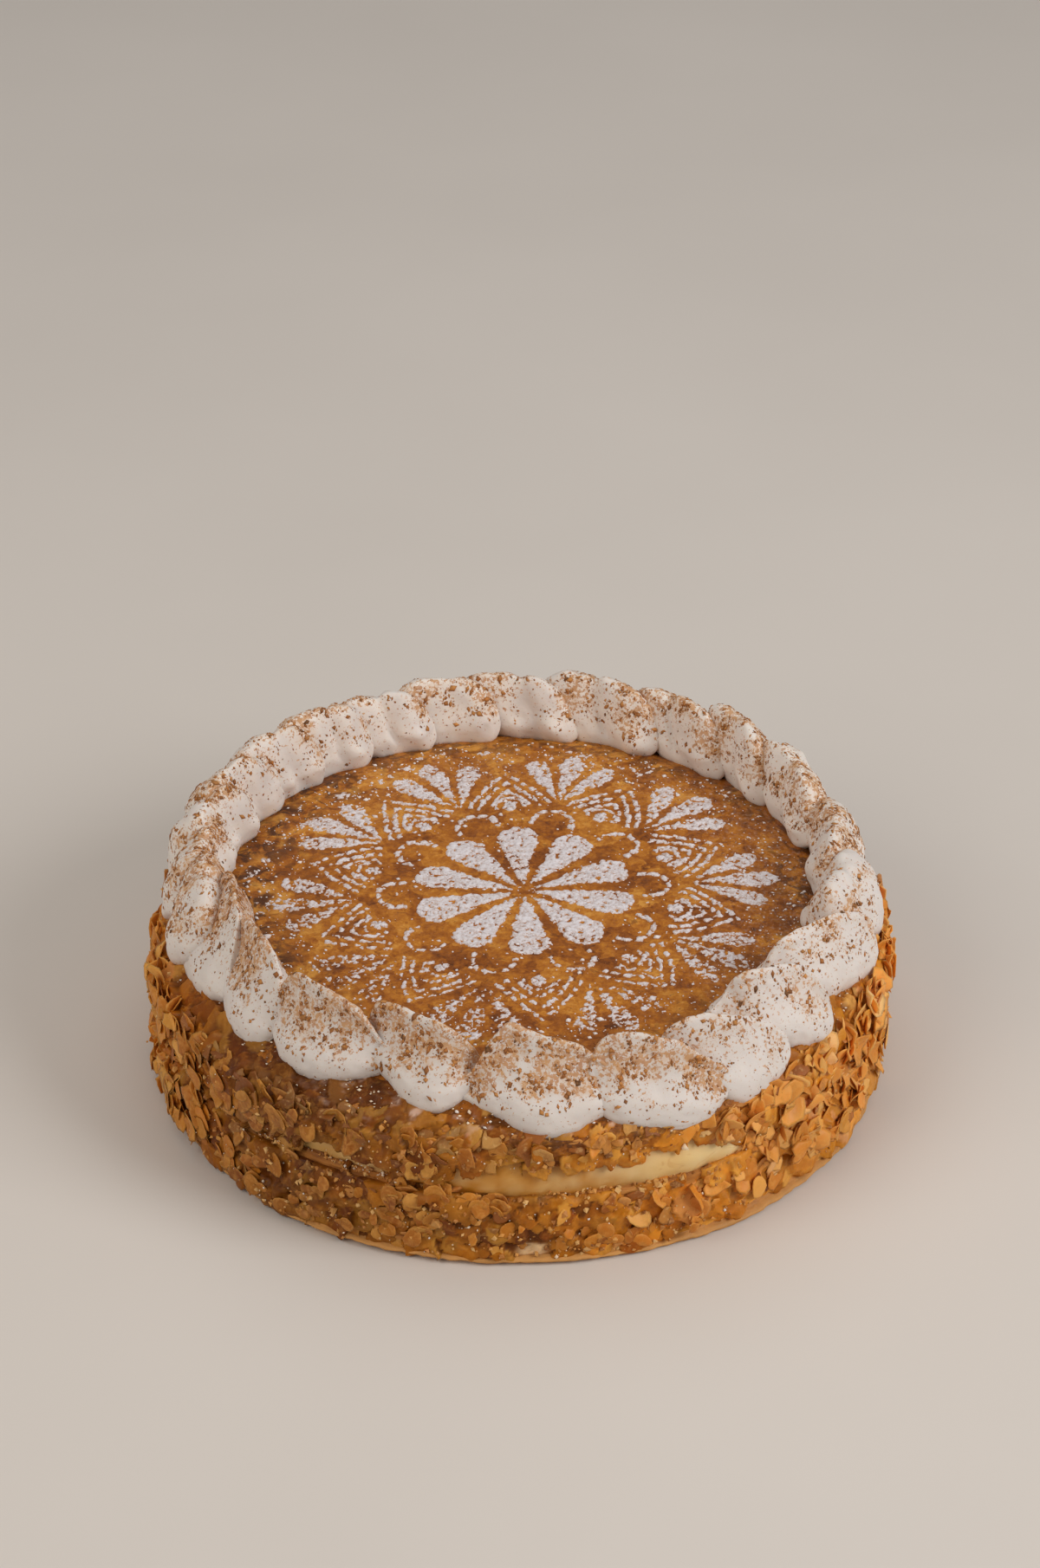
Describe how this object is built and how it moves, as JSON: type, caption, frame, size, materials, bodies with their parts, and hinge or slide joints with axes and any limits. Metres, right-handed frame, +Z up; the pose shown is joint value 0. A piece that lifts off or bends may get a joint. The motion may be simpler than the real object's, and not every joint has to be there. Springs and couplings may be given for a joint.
{
  "type": "mille-feuille gateau",
  "caption": "Round layered puff-pastry gateau with custard between the discs, a caramelised top and a border of piped cream dollops; stands on its flat underside.",
  "frame": {"origin": "centre of the flat underside of the bottom pastry disc", "axes": "+Z up through the layers; -Y is the front shown in the picture, +X to its right"},
  "size_m": [0.25, 0.25, 0.0857],
  "materials": {
    "pastry": "baked flaky pastry, golden brown, dry",
    "caramel": "caramelised pastry, mottled amber, semi-gloss",
    "custard": "set custard, smooth, slightly moist",
    "cream": "whipped cream, soft, dusted with cocoa"
  },
  "bodies": {
    "root": {"pastry_bottom": "pastry", "custard_lower": "custard", "pastry_middle": "pastry", "custard_upper": "custard", "pastry_top": "caramel", "cream_01": "cream", "cream_02": "cream", "cream_03": "cream", "cream_04": "cream", "cream_05": "cream", "cream_06": "cream", "cream_07": "cream", "cream_08": "cream", "cream_09": "cream", "cream_10": "cream", "cream_11": "cream", "cream_12": "cream", "cream_13": "cream", "cream_14": "cream", "cream_15": "cream", "cream_16": "cream", "cream_17": "cream", "cream_18": "cream", "cream_19": "cream", "cream_20": "cream", "cream_21": "cream", "cream_22": "cream", "cream_23": "cream", "cream_24": "cream"}
  },
  "joints": []
}
